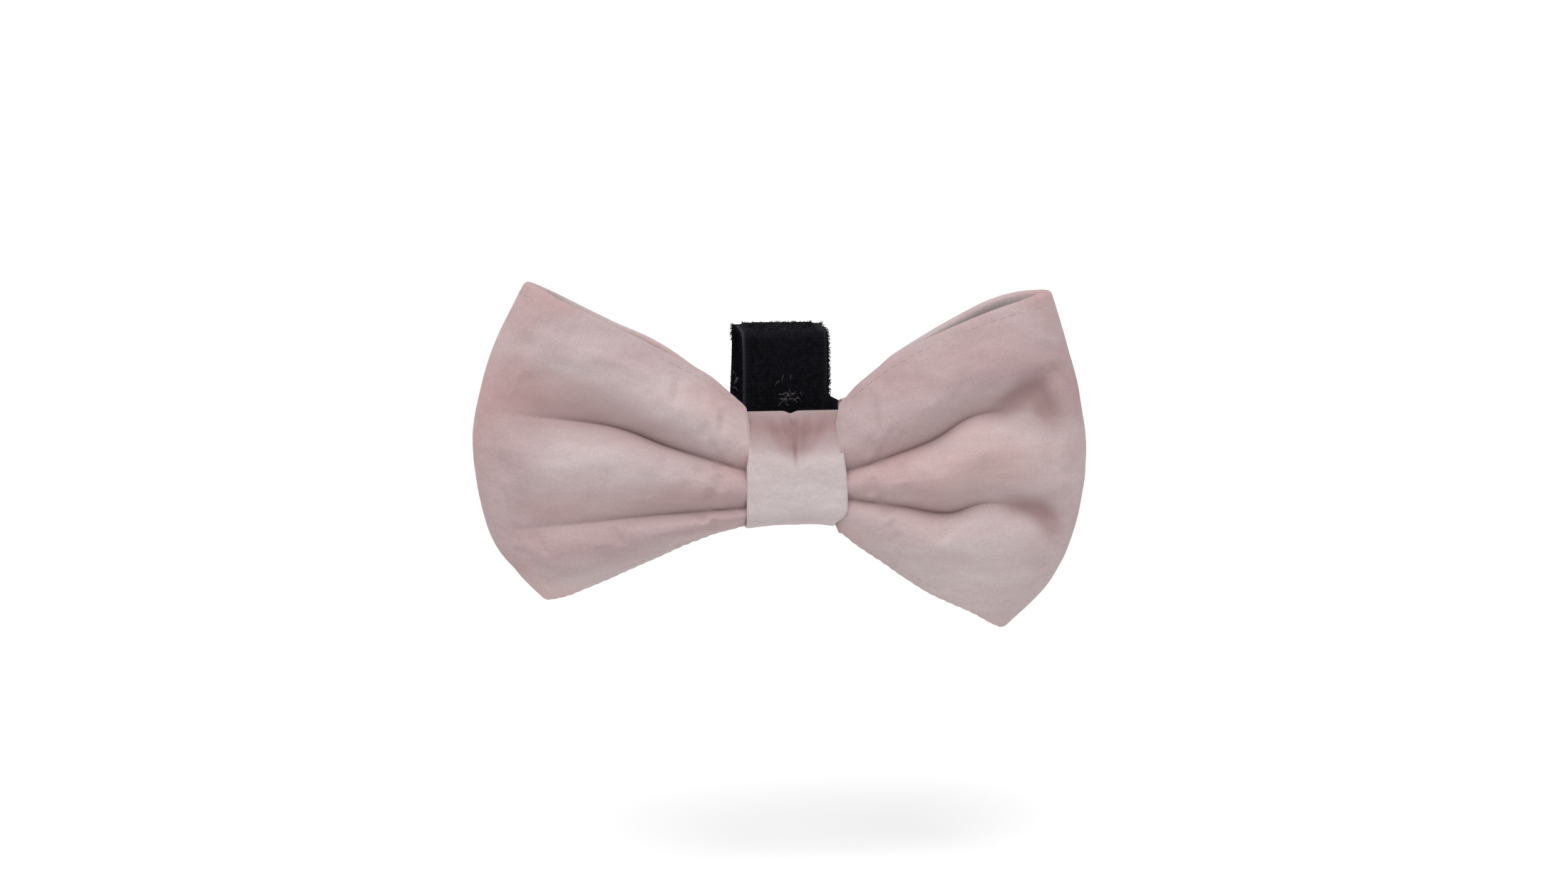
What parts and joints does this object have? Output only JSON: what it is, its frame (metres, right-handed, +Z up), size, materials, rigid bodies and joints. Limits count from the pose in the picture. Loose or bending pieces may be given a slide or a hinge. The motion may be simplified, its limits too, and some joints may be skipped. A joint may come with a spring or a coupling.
{
  "type": "bow hair accessory with hook-and-loop strap",
  "caption": "Padded velvet bow gathered by a centre wrap, with a hook-and-loop strap behind it that closes round a collar or band.",
  "frame": {"origin": "centre line of the strap's inner face, 10 mm above the middle of the knot, where a collar or band rests", "axes": "+Z up as worn, -Y the way the bow's face looks, +Y into the strap's loop, +X along the bow's wingspan"},
  "size_m": [0.1188, 0.0276, 0.0692],
  "materials": {
    "velvet": "soft short-pile velvet, dusty pink with a mottled nap",
    "wrap_velvet": "soft short-pile velvet, pale pink",
    "fleece": "white felted interlining",
    "pink_thread": "satin sewing thread",
    "loop_tape": "black woven tape with a fuzzy loop pile",
    "hooks": "black woven tape with moulded nylon hooks",
    "black_thread": "satin sewing thread"
  },
  "bodies": {
    "bow": {"band_face_velvet": "velvet", "band_fleece": "fleece", "band_lining_velvet": "velvet", "top_edge_seam": "pink_thread", "bottom_edge_seam": "pink_thread", "band_end_stitch": "pink_thread", "gather_thread": "pink_thread", "centre_wrap": "wrap_velvet", "wrap_seam_thread": "pink_thread", "hook_tape": "hooks", "hook_tape_stitch": "black_thread", "strap_panel": "loop_tape", "strap_fold": "loop_tape", "strap_box_stitch": "black_thread"},
    "tongue": {"strap_tongue": "loop_tape"}
  },
  "joints": [
    {"name": "tongue_peel", "type": "hinge", "parent": "bow", "child": "tongue", "pos_m": [-0.00055, 0.00325, 0.0147], "axis": [1, 0, 0], "range_deg": [0, 165], "deforming": ["strap_fold"]}
  ]
}
